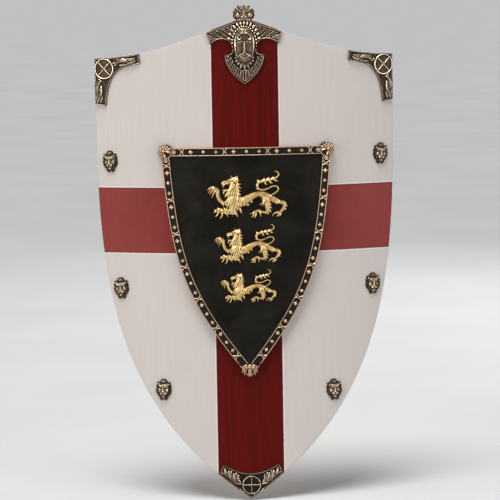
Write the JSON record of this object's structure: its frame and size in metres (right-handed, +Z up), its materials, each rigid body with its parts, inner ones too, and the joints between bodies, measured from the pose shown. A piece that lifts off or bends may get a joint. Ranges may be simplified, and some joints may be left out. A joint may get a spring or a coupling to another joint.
{
  "type": "shield",
  "caption": "Curved pointed wooden display shield with a cross, cast crest and corner plates, lion-head studs, a framed leather panel with walking lions, straps and a hanging ring.",
  "frame": {"origin": "point where a wall hook bears, under the crest of the hanging ring when the ring is swung up", "axes": "+X right as seen from the front, front faces -Y, +Z up along the shield's height"},
  "size_m": [0.4332, 0.0716, 0.7155],
  "materials": {
    "board": "white and red paint over plywood",
    "core": "plain plywood",
    "leather": "dark, slightly glossy",
    "strap": "brown, oiled",
    "bronze": "antique bronze plating, dark in the recesses",
    "gilt": "satin gilt plating",
    "steel": "plain zinc-plated steel"
  },
  "bodies": {
    "shield": {"board": "board", "escutcheon_core": "core", "escutcheon_leather": "leather", "crest_plate": "bronze", "corner_plate_left": "bronze", "corner_plate_right": "bronze", "point_plate": "bronze", "stud_upper_left": "bronze", "stud_upper_right": "bronze", "stud_middle_left": "bronze", "stud_middle_right": "bronze", "stud_lower_left": "bronze", "stud_lower_right": "bronze", "crest_lion": "gilt", "frame_top_bar": "gilt", "frame_left_bar": "gilt", "frame_right_bar": "gilt", "frame_corner_left": "gilt", "frame_corner_right": "gilt", "frame_tip": "gilt", "lion_upper": "gilt", "lion_middle": "gilt", "lion_lower": "gilt", "escutcheon_screw_1": "steel", "escutcheon_screw_2": "steel", "escutcheon_screw_3": "steel", "escutcheon_screw_4": "steel", "strap_washer_1": "steel", "strap_washer_2": "steel", "strap_washer_3": "steel", "strap_washer_4": "steel", "strap_screw_1": "steel", "strap_screw_2": "steel", "strap_screw_3": "steel", "strap_screw_4": "steel", "hanger_plate": "steel", "hanger_screw_1": "steel", "hanger_screw_2": "steel", "arm_strap": "strap", "hand_grip": "strap"},
    "ring": {"hanger_ring": "steel"}
  },
  "joints": [
    {"name": "ring_swing", "type": "hinge", "parent": "shield", "child": "ring", "pos_m": [0, 0, -0.014], "axis": [1, 0, 0], "range_deg": [0, 180]}
  ]
}
